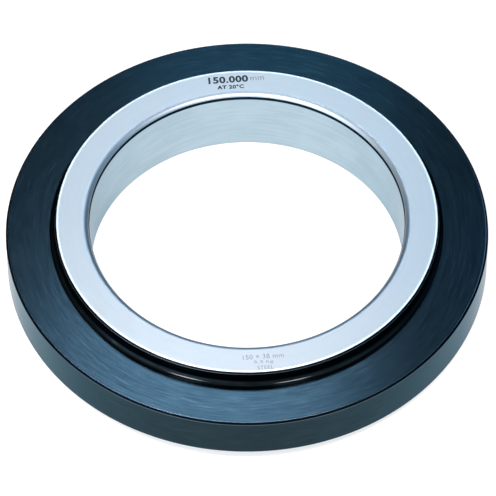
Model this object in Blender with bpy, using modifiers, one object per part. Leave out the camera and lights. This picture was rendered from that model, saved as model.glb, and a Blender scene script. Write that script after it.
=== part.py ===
"""A flanged setting ring gauge: one turned and ground steel ring with a plain through bore.

The ring stands on the lower face of its hub. Its axis is Z, and the origin is at the centre
of that lower face. Lengths are in metres. The section is symmetric about the ring's middle
plane, so the ring can be used either way up.
"""

import math

import bmesh
import bpy

# Driving sizes. The radial sizes stack outwards from the bore, the axial ones from the flange.
BORE_DIAMETER = 0.150
HUB_WALL = 0.0165
FLANGE_REACH = 0.0235
FLANGE_THICKNESS = 0.023
HUB_STEP = 0.0075

# Edge breaks and the rounded root between the hub and the flange.
BORE_EDGE_RADIUS = 0.003
HUB_EDGE_CHAMFER = 0.00085
ROOT_FILLET_RADIUS = 0.0025
RIM_CHAMFER = 0.0009

# How finely the round shapes are divided.
RING_STEPS = 144
BORE_EDGE_STEPS = 6
ROOT_FILLET_STEPS = 4
SMOOTH_ANGLE = math.radians(30.0)
MERGE_DISTANCE = 0.00001

BLACK_FINISH = (0.018, 0.036, 0.055, 1.0)
GROUND_STEEL = (0.68, 0.76, 0.80, 1.0)

RING_NAME = "setting_ring"
COLLECTION_NAME = "setting_ring_gauge"

BORE_RADIUS = BORE_DIAMETER / 2
HUB_RADIUS = BORE_RADIUS + HUB_WALL
FLANGE_RADIUS = HUB_RADIUS + FLANGE_REACH
HALF_FLANGE = FLANGE_THICKNESS / 2
HALF_HUB = HALF_FLANGE + HUB_STEP


def clear_scene():
    """Removes every object that the file holds."""
    for old in list(bpy.data.objects):
        bpy.data.objects.remove(old, do_unlink=True)


def arc(centre, radius, start_deg, end_deg, steps):
    """Points of an arc in the section plane, from one angle to another, both ends included."""
    points = []
    for i in range(steps + 1):
        angle = math.radians(start_deg + (end_deg - start_deg) * i / steps)
        radial = centre[0] + radius * math.cos(angle)
        height = centre[1] + radius * math.sin(angle)
        points.append((radial, height))
    return points


def upper_half_section():
    """The half section above the middle plane, as (radius, height), from the bore out to the rim."""
    bore_edge = arc(
        (BORE_RADIUS + BORE_EDGE_RADIUS, HALF_HUB - BORE_EDGE_RADIUS),
        BORE_EDGE_RADIUS, 180.0, 90.0, BORE_EDGE_STEPS,
    )
    hub_edge = [
        (HUB_RADIUS - HUB_EDGE_CHAMFER, HALF_HUB),
        (HUB_RADIUS, HALF_HUB - HUB_EDGE_CHAMFER),
    ]
    root_fillet = arc(
        (HUB_RADIUS + ROOT_FILLET_RADIUS, HALF_FLANGE + ROOT_FILLET_RADIUS),
        ROOT_FILLET_RADIUS, 180.0, 270.0, ROOT_FILLET_STEPS,
    )
    rim_edge = [
        (FLANGE_RADIUS - RIM_CHAMFER, HALF_FLANGE),
        (FLANGE_RADIUS, HALF_FLANGE - RIM_CHAMFER),
    ]
    return bore_edge + hub_edge + root_fillet + rim_edge


def whole_section():
    """The closed section: the upper half down to the rim, then the same half turned over."""
    upper = upper_half_section()
    lower = [(radius, -height) for radius, height in reversed(upper)]
    return [(radius, HALF_HUB + height) for radius, height in upper + lower]


def section_mesh(name, section):
    """A closed wire in the XZ plane, which runs down its outer side from top to bottom."""
    wire = bmesh.new()
    corners = [wire.verts.new((radius, 0.0, height)) for radius, height in section]
    for first, second in zip(corners, corners[1:] + corners[:1]):
        wire.edges.new((first, second))
    mesh = bpy.data.meshes.new(name)
    wire.to_mesh(mesh)
    wire.free()
    return mesh


def add_turning(ring):
    """Turns the section once round the Z axis."""
    turning = ring.modifiers.new("turning", "SCREW")
    turning.axis = "Z"
    turning.angle = math.tau
    turning.steps = RING_STEPS
    turning.render_steps = RING_STEPS
    turning.use_merge_vertices = True
    turning.merge_threshold = MERGE_DISTANCE
    turning.use_smooth_shade = True


def finish_material(name, colour, metallic, roughness):
    """A Principled material with one colour."""
    material = bpy.data.materials.new(name)
    material.use_nodes = True
    shader = material.node_tree.nodes["Principled BSDF"]
    shader.inputs["Base Color"].default_value = colour
    shader.inputs["Metallic"].default_value = metallic
    shader.inputs["Roughness"].default_value = roughness
    material.diffuse_color = colour
    return material


def is_ground(face):
    """Says whether a face is ground bright: the bore, its rounded edges and the hub's two faces."""
    return math.hypot(face.center.x, face.center.y) < HUB_RADIUS - HUB_EDGE_CHAMFER


def dress(mesh):
    """Gives the ring its two finishes and its smooth shading."""
    mesh.materials.append(finish_material("black_finish", BLACK_FINISH, 0.55, 0.38))
    mesh.materials.append(finish_material("ground_steel", GROUND_STEEL, 1.0, 0.30))
    for face in mesh.polygons:
        face.material_index = 1 if is_ground(face) else 0
    mesh.shade_smooth()
    mesh.set_sharp_from_angle(angle=SMOOTH_ANGLE)


def build_ring(collection):
    """Turns the ring from its section and makes the result its own mesh."""
    ring = bpy.data.objects.new(RING_NAME, section_mesh(RING_NAME, whole_section()))
    collection.objects.link(ring)
    add_turning(ring)
    turned = ring.evaluated_get(bpy.context.evaluated_depsgraph_get())
    wire = ring.data
    ring.data = bpy.data.meshes.new_from_object(turned)
    ring.modifiers.clear()
    bpy.data.meshes.remove(wire)
    ring.data.name = RING_NAME
    dress(ring.data)
    return ring


def main():
    """Builds the gauge in its own collection."""
    clear_scene()
    collection = bpy.data.collections.new(COLLECTION_NAME)
    bpy.context.scene.collection.children.link(collection)
    build_ring(collection)


main()
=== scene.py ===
"""The looks of a flanged setting ring gauge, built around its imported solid.

The gauge is one steel ring: a hub and a flange with a black finish, whose hub faces, bore edges
and bore are ground and lapped bright. The ring is turned again here from a finer section, with
the small roundings that its edges have, and plain marks are cut into its upper face.
"""

import logging
import math
from dataclasses import dataclass
from enum import Enum, IntEnum

import bmesh
import bpy
import numpy as np
from mathutils import Matrix, Vector


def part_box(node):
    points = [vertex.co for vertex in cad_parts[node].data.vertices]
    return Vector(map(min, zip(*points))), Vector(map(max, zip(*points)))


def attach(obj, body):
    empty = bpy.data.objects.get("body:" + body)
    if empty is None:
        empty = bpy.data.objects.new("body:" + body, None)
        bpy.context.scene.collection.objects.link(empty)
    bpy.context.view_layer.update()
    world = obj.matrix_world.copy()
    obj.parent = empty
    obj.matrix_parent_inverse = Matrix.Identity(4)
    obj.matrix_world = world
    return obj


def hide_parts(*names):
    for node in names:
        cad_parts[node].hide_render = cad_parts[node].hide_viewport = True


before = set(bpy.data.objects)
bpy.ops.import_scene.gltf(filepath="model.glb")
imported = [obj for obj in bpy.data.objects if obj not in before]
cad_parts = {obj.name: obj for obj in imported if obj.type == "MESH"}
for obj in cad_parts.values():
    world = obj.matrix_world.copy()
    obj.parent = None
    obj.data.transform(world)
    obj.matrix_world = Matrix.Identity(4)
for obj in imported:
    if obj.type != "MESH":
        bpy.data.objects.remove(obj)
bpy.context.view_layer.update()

MM = 0.001
RING_NODE = "setting_ring"
EDGE_ATTRIBUTE = "edge_mm"
PICTURE_PIXELS = 496
SENSOR_MM = 36.0
QUARTER_TURN = 0.25
NOISE_MIDDLE = 0.5

Colour = tuple[float, float, float, float]
LightColour = tuple[float, float, float]
Point = tuple[float, float, float]
Span = tuple[float, float]
Socket = bpy.types.NodeSocket

log = logging.getLogger("setting_ring_gauge")


def direction(azimuth_deg: float, elevation_deg: float) -> Point:
    """The direction of length 1 towards an azimuth, counted from X towards Y, and an elevation."""
    turn, rise = math.radians(azimuth_deg), math.radians(elevation_deg)
    return math.cos(rise) * math.cos(turn), math.cos(rise) * math.sin(turn), math.sin(rise)


def linked_object(name: str, data: bpy.types.ID) -> bpy.types.Object:
    """Makes an object and links it to the scene.

    Args:
        name: the object's name.
        data: its mesh, lettering, lamp or camera.

    Returns:
        The object.
    """
    made = bpy.data.objects.new(name, data)
    bpy.context.scene.collection.objects.link(made)
    return made


def mesh_points(mesh: bpy.types.Mesh) -> np.ndarray:
    """Reads a mesh's points.

    Args:
        mesh: the mesh.

    Returns:
        The points, as rows of x, y and z.
    """
    flat = np.empty(len(mesh.vertices) * 3, np.float32)
    mesh.vertices.foreach_get("co", flat)
    return flat.reshape(-1, 3).astype(float)


class Zone(IntEnum):
    """The finishes of the ring, in the order of its material slots."""

    GROUND_FACE = 0
    # The bore-edge rounding: a darker, blue-grey copy of the face's steel, painted shade and reflection.
    BRIGHT_EDGE = 1
    # A near-black painted shade line at the bore's mouth.
    BORE_MOUTH = 2
    # The bore: blue-grey and darker than the face's steel, painted reflection and shade.
    LAPPED_BORE = 3
    BLACK = 4
    # The hub wall and root fillet, darkened with painted shade in the recess.
    BLACK_STEP = 5
    # Near-black painted shade on the hub and rim chamfers.
    BLACK_EDGE = 6
    DARK_MARK = 7
    FAINT_MARK = 8


class SocketKind(Enum):
    """The kinds of socket that a shader group has."""

    NUMBER = "NodeSocketFloat"
    VECTOR = "NodeSocketVector"


class MixSocket(IntEnum):
    """Where a colour Mix node keeps its two colours and its result."""

    FIRST = 6
    SECOND = 7
    RESULT = 2


@dataclass(frozen=True)
class Wiring:
    """A node tree under construction, with short ways to place nodes and link them."""

    tree: bpy.types.NodeTree

    def node(self, kind: str, **settings: object) -> bpy.types.Node:
        """Places a node.

        Args:
            kind: the node's type, such as ShaderNodeMath.
            settings: properties that are set on the node.

        Returns:
            The new node.
        """
        made = self.tree.nodes.new(kind)
        for name, value in settings.items():
            setattr(made, name, value)
        return made

    def feed(self, target: Socket, value: object) -> None:
        """Links a socket to an input, or sets the input to a plain value.

        Args:
            target: the input.
            value: a socket to link from, or a number, colour or vector to set.
        """
        if isinstance(value, bpy.types.NodeSocket):
            self.tree.links.new(value, target)
        else:
            target.default_value = value

    def maths(self, operation: str, *values: float | Socket) -> Socket:
        """Places a Math node.

        Args:
            operation: the node's operation, such as MULTIPLY.
            values: its operands, as numbers or sockets.

        Returns:
            The result's socket.
        """
        made = self.node("ShaderNodeMath", operation=operation)
        for target, value in zip(made.inputs, values):
            self.feed(target, value)
        return made.outputs["Value"]

    def vector_maths(self, operation: str, *values: Point | Socket) -> bpy.types.Node:
        """Places a Vector Math node.

        Args:
            operation: the node's operation, such as NORMALIZE.
            values: its operands, as vectors or sockets.

        Returns:
            The node, which gives its result as Vector or Value.
        """
        made = self.node("ShaderNodeVectorMath", operation=operation)
        for target, value in zip(made.inputs, values):
            self.feed(target, value)
        return made

    def carry(
        self, value: float | Socket, low: float, high: float, to_low: float = 0.0, to_high: float = 1.0,
    ) -> Socket:
        """Carries a value smoothly from one range to another, held at both ends.

        Args:
            value: what is carried over.
            low: the first range's start.
            high: the first range's end.
            to_low: the second range's start.
            to_high: the second range's end.

        Returns:
            The result's socket.
        """
        made = self.node("ShaderNodeMapRange", interpolation_type="SMOOTHSTEP")
        ends = {"From Min": low, "From Max": high, "To Min": to_low, "To Max": to_high}
        for name, number in ends.items():
            made.inputs[name].default_value = number
        self.feed(made.inputs["Value"], value)
        return made.outputs["Result"]

    def blend(self, share: float | Socket, first: Colour | Socket, second: Colour | Socket) -> Socket:
        """Mixes two colours.

        Args:
            share: how much of the second shows, from 0 to 1.
            first: a colour or a socket.
            second: a colour or a socket.

        Returns:
            The mixed colour's socket.
        """
        made = self.node("ShaderNodeMix", data_type="RGBA", blend_type="MIX")
        self.feed(made.inputs["Factor"], share)
        self.feed(made.inputs[MixSocket.FIRST], first)
        self.feed(made.inputs[MixSocket.SECOND], second)
        return made.outputs[MixSocket.RESULT]

    def noise(self, vector: Socket, scale: float | Socket, detail: float = 2.0) -> Socket:
        """Places a Noise texture.

        Args:
            vector: the coordinates' socket.
            scale: how many patches there are to a unit of the coordinates.
            detail: how many finer layers are added.

        Returns:
            The noise value's socket, about 0.5 on average.
        """
        made = self.node("ShaderNodeTexNoise")
        self.feed(made.inputs["Vector"], vector)
        self.feed(made.inputs["Scale"], scale)
        made.inputs["Detail"].default_value = detail
        return made.outputs["Fac"]


def new_material(name: str) -> tuple[bpy.types.Material, Wiring]:
    """Makes a material with nodes.

    Args:
        name: the material's name.

    Returns:
        The material, and its tree for wiring.
    """
    material = bpy.data.materials.new(name)
    material.use_nodes = True
    return material, Wiring(material.node_tree)


class ShaderGroup:
    """A shader node group that is built once and placed in each material with its own values."""

    name = "group"
    inputs: dict[str, tuple[SocketKind, float | None]] = {}
    outputs: tuple[str, ...] = ()

    def __init__(self) -> None:
        """Makes the group's tree with its sockets, and wires it."""
        self.tree = bpy.data.node_groups.new(self.name, "ShaderNodeTree")
        for label, (kind, value) in self.inputs.items():
            socket = self.tree.interface.new_socket(label, in_out="INPUT", socket_type=kind.value)
            if value is not None:
                socket.default_value = value
        for label in self.outputs:
            self.tree.interface.new_socket(label, in_out="OUTPUT", socket_type=SocketKind.NUMBER.value)
        wiring = Wiring(self.tree)
        entry = wiring.node("NodeGroupInput").outputs
        results = self.wire(wiring, entry)
        leaving = wiring.node("NodeGroupOutput").inputs
        for label, socket in zip(self.outputs, results, strict=True):
            wiring.feed(leaving[label], socket)

    def wire(self, wiring: Wiring, entry: bpy.types.NodeOutputs) -> tuple[Socket, ...]:
        """Wires the group's nodes.

        Args:
            wiring: the group's tree.
            entry: the sockets that bring the inputs.

        Returns:
            One socket for each output, in order.
        """
        raise NotImplementedError

    def place(self, wiring: Wiring, **values: object) -> bpy.types.NodeOutputs:
        """Places the group in a material.

        Args:
            wiring: the material's tree.
            values: the inputs, named in lower case with underscores for spaces.

        Returns:
            The placed group's output sockets.
        """
        made = wiring.node("ShaderNodeGroup", node_tree=self.tree)
        for name, value in values.items():
            wiring.feed(made.inputs[name.replace("_", " ").title()], value)
        return made.outputs


class TurnedLines(ShaderGroup):
    """Fine lines that run round the axis, and longer and broader streaks along them.

    The pattern is noise on the coordinates (x / r, y / r, r + z), where r is the distance from the axis.
    It is squeezed along r + z, so it forms rings on faces, walls and chamfers alike.
    """

    name = "turned_lines"
    inputs = {
        "Vector": (SocketKind.VECTOR, None),
        "Lines Per Mm": (SocketKind.NUMBER, 4.0),
        "Streaks Per Mm": (SocketKind.NUMBER, 0.8),
        "Breaks": (SocketKind.NUMBER, 3.0),
    }
    outputs = ("Lines", "Streaks")

    def wire(self, wiring: Wiring, entry: bpy.types.NodeOutputs) -> tuple[Socket, ...]:
        """Wires the two layers of rings.

        Args:
            wiring: the group's tree.
            entry: the sockets that bring the inputs.

        Returns:
            The sockets of the lines and the streaks.
        """
        flat = wiring.vector_maths("MULTIPLY", entry["Vector"], (1.0, 1.0, 0.0)).outputs["Vector"]
        reach = wiring.vector_maths("LENGTH", flat).outputs["Value"]
        height = wiring.node("ShaderNodeSeparateXYZ")
        wiring.feed(height.inputs["Vector"], entry["Vector"])
        travel = wiring.maths("MULTIPLY", wiring.maths("ADD", reach, height.outputs["Z"]), 1.0 / MM)
        way = wiring.node("ShaderNodeSeparateXYZ")
        wiring.feed(way.inputs["Vector"], wiring.vector_maths("NORMALIZE", flat).outputs["Vector"])
        layers = []
        for density in ("Lines Per Mm", "Streaks Per Mm"):
            ring = wiring.node("ShaderNodeCombineXYZ")
            wiring.feed(ring.inputs["X"], wiring.maths("MULTIPLY", way.outputs["X"], entry["Breaks"]))
            wiring.feed(ring.inputs["Y"], wiring.maths("MULTIPLY", way.outputs["Y"], entry["Breaks"]))
            wiring.feed(ring.inputs["Z"], wiring.maths("MULTIPLY", travel, entry[density]))
            layers.append(wiring.noise(ring.outputs["Vector"], 1.0))
        return tuple(layers)


class Mottle(ShaderGroup):
    """Soft patches of a stated size in millimetres, the same in every direction."""

    name = "mottle"
    inputs = {"Vector": (SocketKind.VECTOR, None), "Patch Mm": (SocketKind.NUMBER, 8.0)}
    outputs = ("Patches",)

    def wire(self, wiring: Wiring, entry: bpy.types.NodeOutputs) -> tuple[Socket, ...]:
        """Wires one noise whose scale is one over the patch size."""
        scale = wiring.maths("DIVIDE", 1.0 / MM, entry["Patch Mm"])
        return (wiring.noise(entry["Vector"], scale, detail=3.0),)


class EdgeWearAndGlint(ShaderGroup):
    """A band along some of the ring's edges, whose width wanders a little. It stands for edges rubbed by
    hands and benches, and partly it paints highlight lines along them.
    """

    name = "edge_wear_and_glint"
    inputs = {
        "Vector": (SocketKind.VECTOR, None),
        "Distance": (SocketKind.NUMBER, 10.0),
        "Width Mm": (SocketKind.NUMBER, 1.0),
        "Wander": (SocketKind.NUMBER, 0.5),
    }
    outputs = ("Mask",)
    notches_per_mm = 0.4
    bare_share = 0.35

    def wire(self, wiring: Wiring, entry: bpy.types.NodeOutputs) -> tuple[Socket, ...]:
        """Wires the distance over the wandering width, turned into a mask that falls from 1 to 0.

        Args:
            wiring: the group's tree.
            entry: the sockets that bring the inputs.

        Returns:
            The mask's socket.
        """
        notches = wiring.noise(entry["Vector"], self.notches_per_mm / MM)
        ragged = wiring.maths("SUBTRACT", notches, NOISE_MIDDLE)
        share = wiring.maths("MULTIPLY_ADD", ragged, entry["Wander"], 1.0)
        width = wiring.maths("MULTIPLY", share, entry["Width Mm"])
        reach = wiring.maths("DIVIDE", entry["Distance"], width)
        return (wiring.carry(reach, self.bare_share, 1.0, 1.0, 0.0),)


class FineScratches(ShaderGroup):
    """Thin scratches in three directions: noise that is long one way and narrow the other, cut off high."""

    name = "fine_scratches"
    inputs = {"Vector": (SocketKind.VECTOR, None), "Per Mm": (SocketKind.NUMBER, 1.2)}
    outputs = ("Scratches",)
    turns_deg = (17.0, 71.0, 128.0)
    stretch = 22.0
    cut = 0.70
    softness = 0.06

    def wire(self, wiring: Wiring, entry: bpy.types.NodeOutputs) -> tuple[Socket, ...]:
        """Wires the three directions and keeps the strongest of them at each place.

        Args:
            wiring: the group's tree.
            entry: the sockets that bring the inputs.

        Returns:
            The scratches' socket.
        """
        scale = wiring.maths("MULTIPLY", entry["Per Mm"], 1.0 / MM)
        strongest = None
        for turn in self.turns_deg:
            turned = wiring.node("ShaderNodeVectorRotate", rotation_type="Z_AXIS")
            wiring.feed(turned.inputs["Vector"], entry["Vector"])
            turned.inputs["Angle"].default_value = math.radians(turn)
            along = (1.0 / self.stretch, 1.0, 1.0)
            drawn = wiring.vector_maths("MULTIPLY", turned.outputs["Vector"], along).outputs["Vector"]
            field = wiring.noise(drawn, scale, detail=1.0)
            mask = wiring.carry(field, self.cut, self.cut + self.softness)
            strongest = mask if strongest is None else wiring.maths("MAXIMUM", strongest, mask)
        return (strongest,)


@dataclass(frozen=True)
class Effects:
    """The shader groups that the finishes share."""

    turned: TurnedLines
    mottle: Mottle
    wear_and_glint_band: EdgeWearAndGlint
    scratches: FineScratches

    @classmethod
    def build(cls) -> "Effects":
        """Builds each group once."""
        return cls(TurnedLines(), Mottle(), EdgeWearAndGlint(), FineScratches())


class Finish:
    """What every finish of the ring shares: a material with one Principled shader."""

    name: str

    def begin(self) -> tuple[bpy.types.Material, Wiring, bpy.types.NodeInputs, Socket]:
        """Makes the material.

        Returns:
            The material, its tree, the shader's inputs and the Object coordinates.
        """
        material, wiring = new_material(self.name)
        shader = material.node_tree.nodes["Principled BSDF"].inputs
        return material, wiring, shader, wiring.node("ShaderNodeTexCoord").outputs["Object"]


@dataclass(frozen=True, kw_only=True)
class TurnedMetal(Finish):
    """What the bright and the black finishes share: a metal with turned lines, and a band along its edges
    that is partly rubbed and partly a painted highlight line.
    """

    name: str
    pale: Colour
    deep: Colour
    edge_tint: Colour = (1.0, 1.0, 1.0, 1.0)
    roughness: float
    roughness_spread: float = 0.05
    edge_width_mm: float
    lines_per_mm: float = 3.0
    line_depth: float = 0.000001
    patch_mm: float = 7.0
    anisotropy: float = 0.0

    def layers(
        self, effects: Effects, wiring: Wiring, place: Socket,
    ) -> tuple[bpy.types.NodeOutputs, Socket, Socket]:
        """Places the effects that lie all over the metal.

        Args:
            effects: the shared shader groups.
            wiring: the material's tree.
            place: the Object coordinates.

        Returns:
            The outputs of the turned lines, the soft patches and the mask of the edge band, which is partly
            rubbed edges and partly painted highlight lines.
        """
        turned = effects.turned.place(wiring, vector=place, lines_per_mm=self.lines_per_mm)
        patches = effects.mottle.place(wiring, vector=place, patch_mm=self.patch_mm)["Patches"]
        edge = wiring.node("ShaderNodeAttribute", attribute_name=EDGE_ATTRIBUTE).outputs["Fac"]
        # The edge band: rubbed edges, and partly painted highlight lines along them.
        wear_and_glint = effects.wear_and_glint_band.place(wiring, vector=place, distance=edge, width_mm=self.edge_width_mm)["Mask"]
        return turned, patches, wear_and_glint

    def dress(self, wiring: Wiring, shader: bpy.types.NodeInputs, lines: Socket) -> None:
        """Makes the shader a metal that is cut by the turned lines, with highlights drawn across them.

        Args:
            wiring: the material's tree.
            shader: the shader's inputs.
            lines: the lines' height, from 0 to 1, where 1 stands for the line depth in metres.
        """
        shader["Metallic"].default_value = 1.0
        shader["Specular Tint"].default_value = self.edge_tint
        shader["Anisotropic"].default_value = self.anisotropy
        shader["Anisotropic Rotation"].default_value = QUARTER_TURN
        tangent = wiring.node("ShaderNodeTangent", direction_type="RADIAL", axis="Z")
        wiring.feed(shader["Tangent"], tangent.outputs["Tangent"])
        bump = wiring.node("ShaderNodeBump")
        bump.inputs["Distance"].default_value = self.line_depth
        wiring.feed(bump.inputs["Height"], lines)
        wiring.feed(shader["Normal"], bump.outputs["Normal"])


@dataclass(frozen=True, kw_only=True)
class BrightSteel(TurnedMetal):
    """Uncoated hardened steel, ground or lapped, with fine lines round the axis and soft patches. It is
    pale on the face; the bore-edge rounding and the bore get darker, blue-grey colours that are painted
    shade and reflection, and the bore's mouth a near-black painted shade line.
    """

    # Colour of the edge band. On the ground face it is a near-white painted highlight line; on the other
    # bright zones it is their own pale colour.
    glint: Colour
    edge_roughness: float
    tone_range: Span = (0.7, 1.3)
    scratch_share: float = 0.35

    def build(self, effects: Effects) -> bpy.types.Material:
        """Builds the material.

        Args:
            effects: the shared shader groups.

        Returns:
            The material.
        """
        material, wiring, shader, place = self.begin()
        turned, patches, wear_and_glint = self.layers(effects, wiring, place)
        scratches = effects.scratches.place(wiring, vector=place)["Scratches"]

        tone = wiring.carry(wiring.maths("ADD", patches, turned["Streaks"]), *self.tone_range)
        marked = wiring.maths("MULTIPLY_ADD", scratches, self.scratch_share, tone)
        body = wiring.blend(wiring.maths("MINIMUM", marked, 1.0), self.deep, self.pale)
        # Towards the edges the colour goes to glint: on the ground face a near-white painted highlight
        # line.
        wiring.feed(shader["Base Color"], wiring.blend(wear_and_glint, body, self.glint))

        uneven = wiring.maths("SUBTRACT", patches, NOISE_MIDDLE)
        rough = wiring.maths("MULTIPLY_ADD", uneven, self.roughness_spread, self.roughness)
        polish = wiring.maths("SUBTRACT", self.edge_roughness, rough)
        wiring.feed(shader["Roughness"], wiring.maths("MULTIPLY_ADD", wear_and_glint, polish, rough))
        self.dress(wiring, shader, turned["Lines"])
        return material


@dataclass(frozen=True, kw_only=True)
class BlackFinish(TurnedMetal):
    """Oil-black oxide on turned steel: a dark blue film that mirrors a little, with rings from turning.

    The film reflects like a very dark metal, so its colours are those of its reflection, and its
    edge tint is the reflection's colour at a grazing look. The strongest of its scored rings show
    as scratches.
    """

    name: str = "black_oxide"
    deep: Colour = (0.0094, 0.0184, 0.0250, 1.0)
    pale: Colour = (0.0142, 0.0270, 0.0348, 1.0)
    # The lighter colour of the edge band: steel rubbed through the film, and partly a painted highlight
    # line.
    edge_wear_and_glint_colour: Colour = (0.110, 0.150, 0.180, 1.0)
    scratch: Colour = (0.030, 0.048, 0.056, 1.0)
    edge_tint: Colour = (0.63, 0.80, 0.90, 1.0)
    roughness: float = 0.19
    roughness_spread: float = 0.08
    anisotropy: float = 0.4
    line_depth: float = 0.000006
    edge_width_mm: float = 0.45
    edge_wear_and_glint_share: float = 0.6
    patch_mm: float = 14.0
    patch_share: float = 0.3
    tone_range: Span = (0.45, 0.85)
    scored_per_mm: float = 1.7
    scored_breaks: float = 10.0
    scratch_range: Span = (0.64, 0.74)
    scratch_share: float = 0.5

    def build(self, effects: Effects) -> bpy.types.Material:
        """Builds the material.

        Args:
            effects: the shared shader groups.

        Returns:
            The material.
        """
        material, wiring, shader, place = self.begin()
        turned, patches, wear_and_glint = self.layers(effects, wiring, place)
        scored = effects.turned.place(
            wiring, vector=place, lines_per_mm=self.scored_per_mm, breaks=self.scored_breaks,
        )["Lines"]

        rings = wiring.maths("MULTIPLY_ADD", patches, self.patch_share, scored)
        body = wiring.blend(wiring.carry(rings, *self.tone_range), self.deep, self.pale)
        scratches = wiring.carry(scored, *self.scratch_range, 0.0, self.scratch_share)
        marked = wiring.blend(scratches, body, self.scratch)
        # The edge band lightens the film: partly rubbed edges, partly painted highlight lines.
        bare_and_glint = wiring.maths("MULTIPLY", wear_and_glint, self.edge_wear_and_glint_share)
        wiring.feed(shader["Base Color"], wiring.blend(bare_and_glint, marked, self.edge_wear_and_glint_colour))

        uneven = wiring.maths("SUBTRACT", turned["Streaks"], NOISE_MIDDLE)
        rough = wiring.maths("MULTIPLY_ADD", uneven, self.roughness_spread, self.roughness)
        wiring.feed(shader["Roughness"], rough)
        self.dress(wiring, shader, turned["Lines"])
        return material


@dataclass(frozen=True)
class EtchedMark(Finish):
    """The floor and walls of a cut letter, darkened and dull."""

    name: str
    dark: Colour
    pale: Colour
    roughness: float = 0.6
    roughness_spread: float = 0.15
    patch_mm: float = 0.6
    patch_range: Span = (0.3, 0.7)
    specular_level: float = 0.15

    def build(self, effects: Effects) -> bpy.types.Material:
        """Builds the material.

        Args:
            effects: the shared shader groups.

        Returns:
            The material.
        """
        material, wiring, shader, place = self.begin()
        patches = effects.mottle.place(wiring, vector=place, patch_mm=self.patch_mm)["Patches"]
        wiring.feed(shader["Base Color"], wiring.blend(patches, self.dark, self.pale))
        roughest = self.roughness + self.roughness_spread
        rough = wiring.carry(patches, *self.patch_range, self.roughness, roughest)
        wiring.feed(shader["Roughness"], rough)
        shader["Specular IOR Level"].default_value = self.specular_level
        return material


@dataclass(frozen=True)
class Corner:
    """A corner of the ring's half section, in metres, with its height counted from the middle plane.

    The corner is rounded by an arc that touches both of its sides. A rounding of 0 leaves it sharp.
    The arc's first steps can have a zone of their own.
    """

    radius: float
    height: float
    rounding: float
    arc_zone: Zone
    next_zone: Zone
    steps: int = 4
    rows: int = 6
    first_zone: Zone | None = None
    first_steps: int = 0


@dataclass(frozen=True)
class RingSizes:
    """The ring's real sizes in metres. The overall ones come from the frame."""

    flange_radius: float
    length: float
    bore_radius: float = 75.0 * MM
    hub_radius: float = 91.5 * MM
    flange_thickness: float = 23.0 * MM
    bore_edge_radius: float = 3.0 * MM
    hub_edge_chamfer: float = 0.85 * MM
    root_fillet_radius: float = 2.5 * MM
    rim_chamfer: float = 0.9 * MM
    bright_chamfer: float = 0.06 * MM
    edge_break: float = 0.10 * MM

    @classmethod
    def from_frame(cls, node: str) -> "RingSizes":
        """Reads the overall sizes from the box of the node with a stated name."""
        low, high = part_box(node)
        return cls(flange_radius=high.x, length=high.z - low.z)

    @property
    def half_length(self) -> float:
        """Half the hub's length."""
        return self.length / 2

    @property
    def half_flange(self) -> float:
        """Half the flange's thickness."""
        return self.flange_thickness / 2

    @property
    def face_radius(self) -> float:
        """The outer radius of the bright hub face."""
        return self.hub_radius - self.hub_edge_chamfer

    @property
    def wear_and_glint_edges(self) -> tuple[tuple[float, float], ...]:
        """The convex edges that are rubbed first. Their band is partly rubbed edges and partly painted
        highlight lines.

        Returns:
            The edges, as radius and height from the middle plane.
        """
        return (
            (self.face_radius, self.half_length),
            (self.hub_radius, self.half_length - self.hub_edge_chamfer),
            (self.flange_radius - self.rim_chamfer, self.half_flange),
            (self.flange_radius, self.half_flange - self.rim_chamfer),
        )

    def corners(self) -> list[Corner]:
        """Lists the half section's corners above the middle plane.

        Returns:
            The corners, from the bore out to the rim.
        """
        face, top = self.face_radius, self.half_length
        flange = self.half_flange
        black, step, dull, ground = Zone.BLACK, Zone.BLACK_STEP, Zone.BLACK_EDGE, Zone.GROUND_FACE
        return [
            Corner(self.bore_radius, 0.0, 0.0, Zone.LAPPED_BORE, Zone.LAPPED_BORE),
            # The first six steps of the bore's rounding carry a near-black painted shade line.
            Corner(
                self.bore_radius, top, self.bore_edge_radius, Zone.BRIGHT_EDGE, ground, steps=18, rows=8,
                first_zone=Zone.BORE_MOUTH, first_steps=6,
            ),
            Corner(face, top, self.edge_break, ground, ground, steps=3, rows=1),
            # The hub chamfer after this corner, and the rim chamfer below, are dull and darkened with
            # near-black painted shade.
            Corner(face + self.bright_chamfer, top - self.bright_chamfer, 0.0, dull, dull, rows=2),
            # The hub wall and root fillet (step) are darker than the flange: painted shade in the recess.
            Corner(self.hub_radius, top - self.hub_edge_chamfer, 2 * self.edge_break, step, step, rows=4),
            Corner(self.hub_radius, flange, self.root_fillet_radius, step, black, steps=14, rows=8),
            Corner(self.flange_radius - self.rim_chamfer, flange, self.edge_break, black, dull, rows=2),
            Corner(self.flange_radius, flange - self.rim_chamfer, 2 * self.edge_break, black, black),
            Corner(self.flange_radius, 0.0, 0.0, black, black),
        ]


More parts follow.
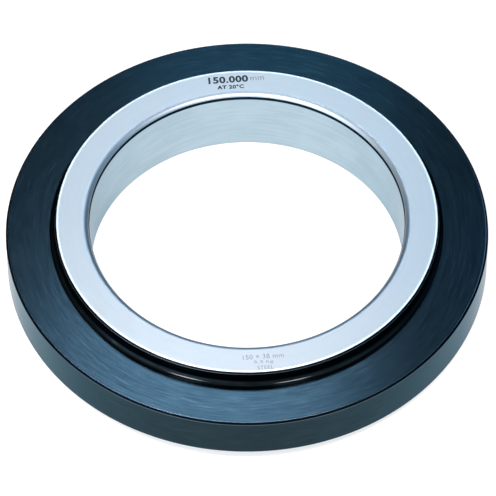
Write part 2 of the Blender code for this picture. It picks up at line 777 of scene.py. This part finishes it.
@dataclass
class RingSection:
    """The ring's closed section, worked out from the corners of its upper half."""

    sizes: RingSizes

    def rounded(self, before: Corner, corner: Corner, after: Corner) -> np.ndarray:
        """Points of one corner's arc.

        The arc's centre lies on the line that halves the corner, at rounding / cos(turn / 2) from it.
        Its points go round that centre by equal angles, from one side to the other.

        Args:
            before: the corner before.
            corner: the corner that is rounded.
            after: the corner after.

        Returns:
            The points, as rows of radius and height.
        """
        point = np.array([corner.radius, corner.height])
        if corner.rounding == 0.0:
            return point[None, :]
        come = point - np.array([before.radius, before.height])
        leave = np.array([after.radius, after.height]) - point
        come /= np.linalg.norm(come)
        leave /= np.linalg.norm(leave)
        turn = math.atan2(come[0] * leave[1] - come[1] * leave[0], float(come @ leave))
        inward = (leave - come) / np.linalg.norm(leave - come)
        centre = point + inward * corner.rounding / math.cos(turn / 2)
        spoke = point - come * corner.rounding * math.tan(abs(turn) / 2) - centre
        angles = np.linspace(0.0, turn, corner.steps + 1)
        across = np.array([-spoke[1], spoke[0]])
        return centre + np.cos(angles)[:, None] * spoke + np.sin(angles)[:, None] * across

    def upper_half(self) -> tuple[np.ndarray, np.ndarray]:
        """The half section above the middle plane.

        Rows on a straight stretch are spaced as 1 - cos of equal angles. So they lie close to its
        ends, where the shading turns.

        Returns:
            The points, and the zone of the stretch that follows each point but the last.
        """
        corners = self.sizes.corners()
        points, zones = [], []
        for i, corner in enumerate(corners):
            before = corners[max(i - 1, 0)]
            after = corners[min(i + 1, len(corners) - 1)]
            arc = self.rounded(before, corner, after)
            if points:
                start = points[-1][-1]
                share = (1.0 - np.cos(np.linspace(0.0, math.pi, corners[i - 1].rows + 1)[1:-1])) / 2
                points.append(start + share[:, None] * (arc[0] - start))
                zones += [before.next_zone] * (len(share) + 1)
            points.append(arc)
            zones += [corner.first_zone] * corner.first_steps
            zones += [corner.arc_zone] * (len(arc) - 1 - corner.first_steps)
        return np.concatenate(points), np.array(zones)

    def closed(self) -> tuple[np.ndarray, np.ndarray]:
        """The whole section: the upper half, then the same half turned over, back to the start.

        The painted shade line at the bore's mouth is only at the upper end, so its zone becomes bore at the
        lower one.

        Returns:
            The points, with heights from the resting plane, and the zone of the stretch after each.
        """
        upper, zones = self.upper_half()
        lower = (upper * (1.0, -1.0))[::-1]
        section = np.concatenate([upper, lower[1:-1]])
        section[:, 1] += self.sizes.half_length
        below = np.where(zones == Zone.BORE_MOUTH, Zone.LAPPED_BORE, zones)[::-1]
        return section, np.concatenate([zones, below])


def turned_mesh(name: str, section: np.ndarray, zones: np.ndarray, steps: int) -> bpy.types.Mesh:
    """Turns a closed section once round Z.

    A surface point is (r cos a, r sin a, h) for a section point (r, h) and an angle a. The grid of
    points wraps round both ways, so the surface is closed.

    Args:
        name: the mesh's name.
        section: the section, as rows of radius and height.
        zones: the material slot of the stretch after each section point.
        steps: how many times the turn is divided.

    Returns:
        The mesh, with its faces pointing outwards.
    """
    rows = len(section)
    angles = np.arange(steps) * (2 * math.pi / steps)
    radius, height = section[:, 0][:, None], section[:, 1][:, None]
    level = height + np.zeros(steps)
    points = np.stack([radius * np.cos(angles), radius * np.sin(angles), level], axis=-1)
    row, step = np.meshgrid(np.arange(rows), np.arange(steps), indexing="ij")
    next_row, next_step = (row + 1) % rows, (step + 1) % steps
    around = [(row, step), (next_row, step), (next_row, next_step), (row, next_step)]
    corners = np.stack([r * steps + s for r, s in around], axis=-1).reshape(-1, 4)

    mesh = bpy.data.meshes.new(name)
    mesh.vertices.add(rows * steps)
    mesh.vertices.foreach_set("co", points.astype(np.float32).ravel())
    mesh.loops.add(corners.size)
    mesh.loops.foreach_set("vertex_index", corners.astype(np.int32).ravel())
    mesh.polygons.add(len(corners))
    mesh.polygons.foreach_set("loop_start", np.arange(0, corners.size, 4, dtype=np.int32))
    mesh.polygons.foreach_set("material_index", np.repeat(zones, steps).astype(np.int32))
    mesh.update(calc_edges=True)
    return mesh


@dataclass(frozen=True)
class EngravedLine:
    """A line of plain lettering that is cut into the upper hub face.

    Its place, width, height and depth are in millimetres. Before the letters are stretched, the
    weight thickens their strokes, the spacing is a factor on their distances, and after_one draws
    in the letter that follows a 1, which otherwise stands too far away.
    """

    text: str
    x: float
    y: float
    turn_deg: float
    width: float
    height: float
    zone: Zone
    weight: float = 0.0
    depth: float = 0.12
    spacing: float = 1.05
    after_one: float = -0.14
    resolution: int = 4

    def points(self, flat: np.ndarray, top: float) -> np.ndarray:
        """Brings the letters' points to their size and place.

        The letters are stretched to the stated width and height, turned about the middle of their base
        and moved to their place. Their caps end up as far above the face as they are deep.

        Args:
            flat: the points as Blender makes them, lying in XY.
            top: the face's height in metres.

        Returns:
            The points in metres.
        """
        low, high = flat.min(axis=0), flat.max(axis=0)
        x = ((flat[:, 0] - low[0]) / (high[0] - low[0]) - 0.5) * self.width
        y = (flat[:, 1] - low[1]) / (high[1] - low[1]) * self.height
        turn = math.radians(self.turn_deg)
        return np.stack([
            (self.x + x * math.cos(turn) - y * math.sin(turn)) * MM,
            (self.y + x * math.sin(turn) + y * math.cos(turn)) * MM,
            top + np.sign(flat[:, 2]) * self.depth * MM,
        ], axis=1)

    def letters(self, top: float) -> bpy.types.Mesh:
        """The letters as closed solids that straddle the face.

        Args:
            top: the face's height in metres.

        Returns:
            The mesh.
        """
        curve = bpy.data.curves.new("letters", "FONT")
        curve.body = self.text
        curve.extrude = 1.0
        curve.offset = self.weight
        curve.space_character = self.spacing
        for letter, form in zip(self.text, curve.body_format):
            form.kerning = self.after_one if letter == "1" else 0.0
        curve.resolution_u = self.resolution
        carrier = linked_object("letters", curve)
        seen = carrier.evaluated_get(bpy.context.evaluated_depsgraph_get())
        mesh = bpy.data.meshes.new_from_object(seen)
        bpy.data.objects.remove(carrier)
        placed = self.points(mesh_points(mesh), top)
        mesh.vertices.foreach_set("co", placed.astype(np.float32).ravel())
        mesh.polygons.foreach_set("material_index", np.full(len(mesh.polygons), self.zone, np.int32))
        return mesh


@dataclass
class SettingRing:
    """The ring itself: one turned solid with its finishes and the marks in its upper face."""

    sizes: RingSizes
    lines: tuple[EngravedLine, ...]
    steps: int = 480
    weld: float = 0.000001
    sharp_deg: float = 28.0

    def cutter(self, materials: list[bpy.types.Material]) -> bpy.types.Object:
        """Gathers all the letters into one object that is cut from the ring.

        Args:
            materials: the ring's materials, so that the cut faces keep their slots.

        Returns:
            The cutter.
        """
        gathered = bmesh.new()
        for line in self.lines:
            gathered.from_mesh(line.letters(self.sizes.length))
        bmesh.ops.remove_doubles(gathered, verts=gathered.verts, dist=self.weld)
        bmesh.ops.recalc_face_normals(gathered, faces=gathered.faces)
        mesh = bpy.data.meshes.new("mark_cutter")
        gathered.to_mesh(mesh)
        gathered.free()
        for material in materials:
            mesh.materials.append(material)
        return linked_object("mark_cutter", mesh)

    def cut_marks(self, ring: bpy.types.Object, materials: list[bpy.types.Material]) -> None:
        """Cuts the letters out of the ring and makes the result the ring's own mesh.

        Args:
            ring: the turned ring.
            materials: the ring's materials.
        """
        cutter = self.cutter(materials)
        cut = ring.modifiers.new("marks", "BOOLEAN")
        cut.operation = "DIFFERENCE"
        cut.solver = "EXACT"
        cut.material_mode = "INDEX"
        cut.object = cutter
        seen = ring.evaluated_get(bpy.context.evaluated_depsgraph_get())
        ring.data = bpy.data.meshes.new_from_object(seen)
        if not ring.data.polygons:
            raise RuntimeError("the marks' cut left nothing of the ring")
        ring.modifiers.clear()
        bpy.data.objects.remove(cutter)

    def mark_edges(self, mesh: bpy.types.Mesh) -> None:
        """Stores at each point its distance from the nearest edge that has the edge band, in millimetres.

        The distance is measured in the plane of the section, from the point's radius and height.

        Args:
            mesh: the ring's mesh.
        """
        x, y, z = mesh_points(mesh).T
        radius = np.hypot(x, y)
        height = np.abs(z - self.sizes.half_length)
        gaps = [np.hypot(radius - r, height - h) for r, h in self.sizes.wear_and_glint_edges]
        nearest = np.min(gaps, axis=0) / MM
        stored = mesh.attributes.new(EDGE_ATTRIBUTE, "FLOAT", "POINT")
        stored.data.foreach_set("value", nearest.astype(np.float32))

    def build(self, materials: list[bpy.types.Material]) -> bpy.types.Object:
        """Turns, cuts and dresses the ring.

        Args:
            materials: one material for each zone, in order.

        Returns:
            The ring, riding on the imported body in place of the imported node.
        """
        section, zones = RingSection(self.sizes).closed()
        mesh = turned_mesh("ring", section, zones, self.steps)
        for material in materials:
            mesh.materials.append(material)
        ring = linked_object("steel_ring", mesh)
        self.cut_marks(ring, materials)
        self.mark_edges(ring.data)
        ring.data.shade_smooth()
        ring.data.set_sharp_from_angle(angle=math.radians(self.sharp_deg))
        ring.data.name = "steel_ring"
        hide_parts(RING_NODE)
        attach(ring, "root")
        return ring


@dataclass(frozen=True)
class Softbox:
    """A round soft studio lamp, placed by its azimuth and elevation as seen from the ring."""

    name: str
    azimuth_deg: float
    elevation_deg: float
    distance: float
    radius: float
    radiance: float
    colour: LightColour

    def build(self) -> bpy.types.Object:
        """Hangs the lamp and turns it to the ring. Its power is 4 times its area times its radiance.

        Returns:
            The lamp.
        """
        light = bpy.data.lights.new(self.name, "AREA")
        light.shape = "DISK"
        light.size = 2.0 * self.radius
        light.energy = 4.0 * math.pi * self.radius ** 2 * self.radiance
        light.color = self.colour
        lamp = linked_object(self.name, light)
        way = Vector(direction(self.azimuth_deg, self.elevation_deg))
        lamp.location = way * self.distance
        lamp.rotation_euler = (-way).to_track_quat("-Z", "Y").to_euler()
        lamp.visible_camera = False
        return lamp


@dataclass(frozen=True)
class Glow:
    """A soft bright area of the tent, full up to an inner angle from its middle, gone at an outer one."""

    azimuth_deg: float
    elevation_deg: float
    inner_deg: float
    outer_deg: float
    colour: LightColour

    def wire(self, wiring: Wiring, way: Socket) -> Socket:
        """Wires the glow's colour for a direction.

        The share of the colour rises smoothly with the cosine of the angle from the glow's middle.

        Args:
            wiring: the cloth's tree.
            way: the direction's socket, of length 1.

        Returns:
            The colour's socket, as a vector.
        """
        middle = direction(self.azimuth_deg, self.elevation_deg)
        near = wiring.vector_maths("DOT_PRODUCT", way, middle).outputs["Value"]
        ends = math.cos(math.radians(self.outer_deg)), math.cos(math.radians(self.inner_deg))
        share = wiring.carry(near, *ends)
        return wiring.vector_maths("MULTIPLY", share, self.colour).outputs["Vector"]


@dataclass(frozen=True)
class Studio:
    """The pale floor, the soft tent around it, the lamps and the white background."""

    floor_radius: float = 2.6
    floor_steps: int = 96
    floor_colour: Colour = (0.50, 0.50, 0.50, 1.0)
    floor_roughness: float = 0.9
    floor_lift: float = 0.64
    world_strength: float = 0.8
    tent_radius: float = 1.25
    tent_rows: int = 24
    tent_steps: int = 64
    tent_shade: LightColour = (0.02, 0.05, 0.08)
    glows: tuple[Glow, ...] = (
        Glow(270.0, 52.0, 20.0, 65.0, (0.95, 1.00, 1.00)),
        Glow(225.0, 20.0, 5.0, 45.0, (1.60, 1.80, 2.10)),
        Glow(315.0, 20.0, 5.0, 45.0, (0.05, 0.25, 0.35)),
        Glow(180.0, 38.0, 5.0, 50.0, (0.45, 0.45, 0.40)),
        Glow(0.0, 35.0, 5.0, 45.0, (0.15, 0.25, 0.35)),
    )
    lamps: tuple[Softbox, ...] = (
        Softbox("left_softbox", 231.0, 60.0, 0.85, 0.076, 68.0, (1.0, 0.69, 0.57)),
        Softbox("right_softbox", 299.0, 61.0, 0.85, 0.076, 57.0, (1.0, 0.69, 0.57)),
        Softbox("key_softbox", 93.4, 58.8, 1.2, 0.11, 12.0, (0.735, 0.84, 1.0)),
        Softbox("back_softbox", 89.0, 47.0, 1.2, 0.10, 2.4, (0.30, 0.72, 1.0)),
        Softbox("side_softbox", 65.0, 52.0, 1.2, 0.10, 2.8, (0.34, 0.64, 1.0)),
    )

    def seen_directly(self, wiring: Wiring) -> Socket:
        """A mask that is 1 for what the camera sees, also in a mirror or through glass.

        Args:
            wiring: the material's or the world's tree.

        Returns:
            The mask's socket.
        """
        path = wiring.node("ShaderNodeLightPath").outputs
        seen = wiring.maths("MAXIMUM", path["Is Camera Ray"], path["Is Glossy Ray"])
        return wiring.maths("MAXIMUM", seen, path["Is Transmission Ray"])

    def build_floor(self) -> bpy.types.Object:
        """Lays the floor: pale, lifted to white where it is seen, still darker where the ring shades it.

        It is one flat face at height 0, whose corners go round a circle by equal angles.

        Returns:
            The floor.
        """
        steps = self.floor_steps
        angles = np.arange(steps) * (2 * math.pi / steps)
        points = self.floor_radius * np.stack([np.cos(angles), np.sin(angles), np.zeros(steps)], axis=1)
        mesh = bpy.data.meshes.new("studio_floor")
        mesh.from_pydata(points.tolist(), [], [list(range(steps))])
        floor = linked_object("studio_floor", mesh)
        material, wiring = new_material("pale_floor")
        shader = material.node_tree.nodes["Principled BSDF"].inputs
        shader["Base Color"].default_value = self.floor_colour
        shader["Roughness"].default_value = self.floor_roughness
        shader["Specular IOR Level"].default_value = 0.0
        shader["Emission Color"].default_value = (1.0, 1.0, 1.0, 1.0)
        lift = wiring.maths("MULTIPLY", self.seen_directly(wiring), self.floor_lift)
        wiring.feed(shader["Emission Strength"], lift)
        floor.data.materials.append(material)
        return floor

    def build_tent(self) -> bpy.types.Object:
        """Puts up the tent: a dark dome with soft bright areas, which only lights the ring.

        Returns:
            The tent.
        """
        rows, steps = self.tent_rows, self.tent_steps
        rise = np.linspace(0.0, math.pi / 2, rows)[:, None]
        angles = np.linspace(0.0, 2 * math.pi, steps, endpoint=False)[None, :]
        points = self.tent_radius * np.stack([
            np.cos(rise) * np.cos(angles),
            np.cos(rise) * np.sin(angles),
            np.sin(rise) + np.zeros(steps),
        ], axis=-1)
        row, step = np.meshgrid(np.arange(rows - 1), np.arange(steps), indexing="ij")
        around = (step + 1) % steps
        faces = np.stack([
            row * steps + step, (row + 1) * steps + step, (row + 1) * steps + around, row * steps + around,
        ], axis=-1)
        mesh = bpy.data.meshes.new("studio_tent")
        mesh.from_pydata(points.reshape(-1, 3).tolist(), [], faces.reshape(-1, 4).tolist())
        tent = linked_object("studio_tent", mesh)
        tent.visible_camera = False
        tent.data.materials.append(self.tent_cloth())
        return tent

    def tent_cloth(self) -> bpy.types.Material:
        """The tent's cloth: its own shade with the colours of all the glows added.

        Returns:
            The material.
        """
        material, wiring = new_material("tent_cloth")
        material.node_tree.nodes.remove(material.node_tree.nodes["Principled BSDF"])
        place = wiring.node("ShaderNodeTexCoord").outputs["Object"]
        way = wiring.vector_maths("NORMALIZE", place).outputs["Vector"]
        colour = self.tent_shade
        for glow in self.glows:
            colour = wiring.vector_maths("ADD", glow.wire(wiring, way), colour).outputs["Vector"]
        cloth = wiring.node("ShaderNodeEmission")
        wiring.feed(cloth.inputs["Color"], colour)
        output = material.node_tree.nodes["Material Output"]
        wiring.feed(output.inputs["Surface"], cloth.outputs["Emission"])
        material.cycles.emission_sampling = "NONE"
        return material

    def build_world(self) -> None:
        """Makes the background white where it is seen, and a plain pale grey as light."""
        world = bpy.data.worlds.new("studio_world")
        bpy.context.scene.world = world
        world.use_nodes = True
        wiring = Wiring(world.node_tree)
        background = world.node_tree.nodes["Background"]
        background.inputs["Color"].default_value = (1.0, 1.0, 1.0, 1.0)
        strength = wiring.carry(self.seen_directly(wiring), 0.0, 1.0, self.world_strength, 1.0)
        wiring.feed(background.inputs["Strength"], strength)


@dataclass(frozen=True)
class PhotoCamera:
    """The camera, at the photograph's place: a long lens that looks down on the ring from its front."""

    distance: float = 2.279
    elevation_deg: float = 52.28
    aim_x: float = 0.45 * MM
    aim_y: float = -12.38 * MM
    roll_deg: float = -0.13
    focal_pixels: float = 4781.0
    clip_end: float = 20.0

    def build(self, height: float) -> bpy.types.Object:
        """Sets the camera up. Its distance and elevation count from the ring's axis at a stated height.

        Args:
            height: the height of the flange's upper face in metres, in whose plane the camera aims.

        Returns:
            The camera.
        """
        lens = bpy.data.cameras.new("photo_camera")
        lens.sensor_width = SENSOR_MM
        lens.lens = self.focal_pixels * SENSOR_MM / PICTURE_PIXELS
        lens.clip_end = self.clip_end
        camera = linked_object("photo_camera", lens)
        rise = math.radians(self.elevation_deg)
        place = Vector((0.0, -self.distance * math.cos(rise), self.distance * math.sin(rise) + height))
        aim = Vector((self.aim_x, self.aim_y, height))
        turn = (aim - place).to_track_quat("-Z", "Y").to_matrix()
        roll = Matrix.Rotation(math.radians(self.roll_deg), 3, "Z")
        camera.matrix_world = Matrix.Translation(place) @ (turn @ roll).to_4x4()
        bpy.context.scene.camera = camera
        return camera


def ring_finishes(effects: Effects) -> list[bpy.types.Material]:
    """Builds one material for each zone of the ring.

    Args:
        effects: the shared shader groups.

    Returns:
        The materials, in the zones' order.
    """
    finishes = {
        # The ground face's near-white glint is a painted highlight line along its outer edge.
        Zone.GROUND_FACE: BrightSteel(
            name="ground_face", pale=(0.550, 0.570, 0.568, 1.0), deep=(0.525, 0.550, 0.550, 1.0),
            glint=(0.97, 0.99, 1.0, 1.0), roughness=0.42, roughness_spread=0.06, edge_roughness=0.38,
            edge_width_mm=1.2, lines_per_mm=2.2, line_depth=0.000002, anisotropy=0.15,
        ),
        # The bore-edge rounding: its darker, blue-grey colour stands for painted shade and reflection on
        # the face's own steel.
        Zone.BRIGHT_EDGE: BrightSteel(
            name="bright_edge", pale=(0.39, 0.48, 0.55, 1.0), deep=(0.36, 0.45, 0.51, 1.0),
            glint=(0.39, 0.48, 0.55, 1.0), roughness=0.42, edge_roughness=0.42, edge_width_mm=0.8,
            anisotropy=0.1,
        ),
        # The bore's mouth: a near-black colour and dim grazing tint paint a shade line on the bright steel.
        Zone.BORE_MOUTH: BrightSteel(
            name="bore_mouth_shade", pale=(0.006, 0.018, 0.030, 1.0), deep=(0.003, 0.012, 0.022, 1.0),
            glint=(0.006, 0.018, 0.030, 1.0), edge_tint=(0.2, 0.3, 0.4, 1.0), roughness=0.40,
            edge_roughness=0.40, edge_width_mm=0.1,
        ),
        # The bore: its blue-grey colour, darker than the face's steel, and its grey-blue grazing tint are
        # painted reflection and shade.
        Zone.LAPPED_BORE: BrightSteel(
            name="lapped_bore", pale=(0.350, 0.472, 0.548, 1.0), deep=(0.302, 0.420, 0.492, 1.0),
            glint=(0.350, 0.472, 0.548, 1.0), edge_tint=(0.60, 0.68, 0.72, 1.0), roughness=0.26,
            roughness_spread=0.06, edge_roughness=0.26, edge_width_mm=0.5, lines_per_mm=2.5,
            patch_mm=20.0, anisotropy=0.2,
        ),
        Zone.BLACK: BlackFinish(),
        # The step: a darker copy of the flange's black, painted shade in the recess by the hub. Its edge
        # band is partly rubbed and partly a painted highlight line at the chamfer's lower edge.
        Zone.BLACK_STEP: BlackFinish(
            name="black_step", deep=(0.006, 0.009, 0.011, 1.0), pale=(0.010, 0.014, 0.017, 1.0),
            edge_wear_and_glint_colour=(0.34, 0.40, 0.44, 1.0), roughness=0.09, roughness_spread=0.03, anisotropy=0.0,
            line_depth=0.000001,
        ),
        # The chamfers: a near-black colour and dim grazing tint are painted shade, so they stay a dark
        # line; their higher roughness makes them dull.
        Zone.BLACK_EDGE: BlackFinish(
            name="black_chamfer_shade", deep=(0.001, 0.003, 0.006, 1.0), pale=(0.002, 0.005, 0.009, 1.0),
            edge_wear_and_glint_colour=(0.002, 0.005, 0.009, 1.0), scratch=(0.002, 0.005, 0.009, 1.0),
            edge_tint=(0.2, 0.3, 0.4, 1.0), roughness=0.42, roughness_spread=0.05, anisotropy=0.0,
        ),
        Zone.DARK_MARK: EtchedMark("dark_mark", (0.010, 0.018, 0.026, 1.0), (0.030, 0.045, 0.060, 1.0)),
        Zone.FAINT_MARK: EtchedMark("faint_mark", (0.11, 0.13, 0.17, 1.0), (0.29, 0.32, 0.36, 1.0)),
    }
    return [finishes[zone].build(effects) for zone in Zone]


def main() -> None:
    """Builds the ring, the studio and the camera, and reports each."""
    logging.basicConfig(level=logging.INFO, format="%(name)s: %(message)s")
    bpy.context.scene.view_settings.view_transform = "Standard"

    sizes = RingSizes.from_frame(RING_NODE)
    marks = (
        EngravedLine("150.000", -8.8, 83.0, 4.8, 19.4, 4.2, Zone.DARK_MARK, weight=0.036, spacing=1.07),
        EngravedLine("mm", 5.2, 84.7, 4.0, 6.6, 2.3, Zone.FAINT_MARK),
        EngravedLine("AT 20°C", -7.7, 79.3, 4.0, 13.0, 2.5, Zone.DARK_MARK, weight=0.045, spacing=1.10),
        EngravedLine("150 × 38 mm", 7.5, -82.9, 5.0, 19.0, 2.7, Zone.FAINT_MARK),
        EngravedLine("5.3 kg", 7.6, -85.9, 3.8, 9.0, 2.1, Zone.FAINT_MARK),
        EngravedLine("STEEL", 8.5, -88.9, 4.5, 7.6, 2.0, Zone.FAINT_MARK),
    )
    ring = SettingRing(sizes, marks).build(ring_finishes(Effects.build()))
    log.info("%s: %d faces, %d points", ring.name, len(ring.data.polygons), len(ring.data.vertices))

    studio = Studio()
    log.info("%s laid", studio.build_floor().name)
    log.info("%s put up", studio.build_tent().name)
    studio.build_world()
    for lamp in studio.lamps:
        log.info("%s hung", lamp.build().name)
    camera = PhotoCamera().build(sizes.half_length + sizes.half_flange)
    log.info("%s set up with a lens of %.0f mm", camera.name, camera.data.lens)


if __name__ == "__main__":
    main()
